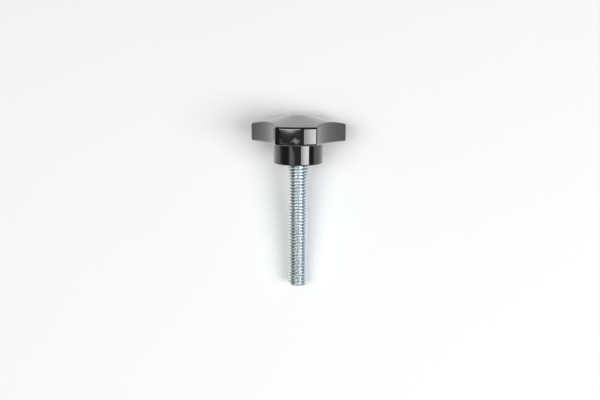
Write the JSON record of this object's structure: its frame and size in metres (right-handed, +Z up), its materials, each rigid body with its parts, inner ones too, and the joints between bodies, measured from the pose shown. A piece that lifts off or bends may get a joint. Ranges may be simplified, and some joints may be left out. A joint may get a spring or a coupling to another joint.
{
  "type": "three-lobe clamping knob",
  "caption": "Black three-lobed clamping knob with a round hub and a zinc-plated threaded stud, turned by hand to clamp or release.",
  "frame": {"origin": "on the surface the knob lies on, under the middle of its outline", "axes": "+Y from the stud's tip towards the head, +Z up; the knob's own axis rises by 11.1 degrees along +Y"},
  "size_m": [0.0378, 0.0692, 0.0349],
  "materials": {
    "head_plastic": "moulded, glossy black",
    "zinc_steel": "bright zinc plate, faintly blue"
  },
  "bodies": {
    "root": {"lobed_head": "head_plastic", "threaded_stud": "zinc_steel"}
  },
  "joints": []
}
